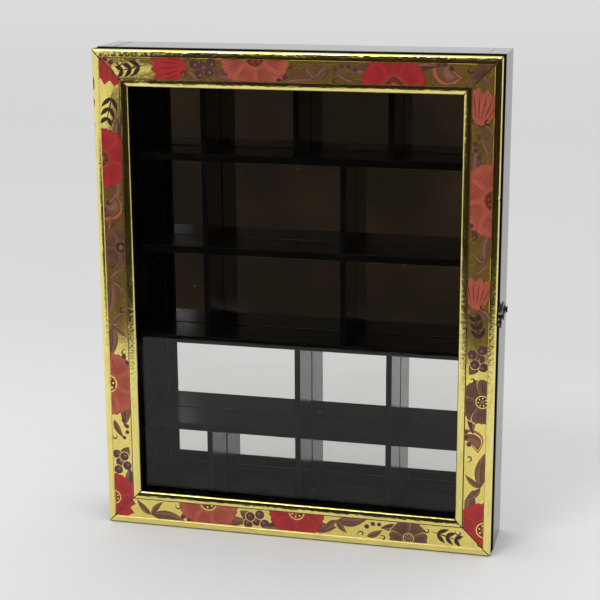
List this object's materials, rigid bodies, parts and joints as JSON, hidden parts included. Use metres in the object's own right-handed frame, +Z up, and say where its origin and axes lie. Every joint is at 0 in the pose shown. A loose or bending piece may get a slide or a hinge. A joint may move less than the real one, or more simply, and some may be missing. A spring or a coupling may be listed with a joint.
{
  "type": "cufflink display box",
  "caption": "Shallow glass-fronted display box with a gold floral-printed door frame, black shelves and dividers in front of a mirror back, side hinges and a hook latch.",
  "frame": {"origin": "centre of the case's underside, on the surface that it stands on", "axes": "+X to the viewer's right when facing the glass, +Y from the glass towards the mirror and back panel, +Z up"},
  "size_m": [0.2286, 0.041, 0.2745],
  "materials": {
    "black_lacquer": "smooth gloss black lacquer on wood",
    "black_paint": "satin black paint on thin wooden slats",
    "gold_moulding": "gold-finished wooden moulding with a printed floral band",
    "steel_nails": "plain bright steel wire nails",
    "brown_hardboard": "smooth brown hardboard",
    "mirror_glass": "silvered mirror glass",
    "clear_glass": "clear float glass with polished faces",
    "zinc_points": "thin zinc-plated sheet points",
    "brass": "thin pressed brass, slightly tarnished"
  },
  "bodies": {
    "case": {"case_top": "black_lacquer", "case_bottom": "black_lacquer", "case_left": "black_lacquer", "case_right": "black_lacquer", "case_corner_nails": "steel_nails", "back_panel": "brown_hardboard", "back_panel_tacks": "steel_nails", "mirror_pane": "mirror_glass", "shelf_1": "black_paint", "shelf_2": "black_paint", "shelf_3": "black_paint", "shelf_4": "black_paint", "divider_1_1": "black_paint", "divider_1_2": "black_paint", "divider_1_3": "black_paint", "divider_2_1": "black_paint", "divider_2_2": "black_paint", "divider_3_1": "black_paint", "divider_3_2": "black_paint", "divider_4_1": "black_paint", "divider_4_2": "black_paint", "divider_5_1": "black_paint", "divider_5_2": "black_paint", "divider_5_3": "black_paint", "hinge_upper_case_leaf": "brass", "hinge_upper_pin": "brass", "hinge_lower_case_leaf": "brass", "hinge_lower_pin": "brass", "hinge_case_nails": "brass", "latch_base_plate": "brass", "latch_pivot": "brass", "latch_base_nails": "brass"},
    "door": {"door_rail_top": "gold_moulding", "door_rail_bottom": "gold_moulding", "door_stile_left": "gold_moulding", "door_stile_right": "gold_moulding", "door_corner_nails": "steel_nails", "glass_pane": "clear_glass", "glazing_points": "zinc_points", "hinge_upper_door_leaf": "brass", "hinge_lower_door_leaf": "brass", "hinge_door_nails": "brass", "catch_plate": "brass", "catch_stud": "brass", "catch_nails": "brass"},
    "hook": {"latch_hook": "brass"}
  },
  "joints": [
    {"name": "door_swing", "type": "hinge", "parent": "case", "child": "door", "pos_m": [-0.11295, -0.01575, 0.13725], "axis": [0, 0, -1], "range_deg": [0, 180]},
    {"name": "hook_swing", "type": "hinge", "parent": "case", "child": "hook", "pos_m": [0.1123, -0.00425, 0.1364], "axis": [-1, 0, 0], "range_deg": [0, 92]}
  ]
}
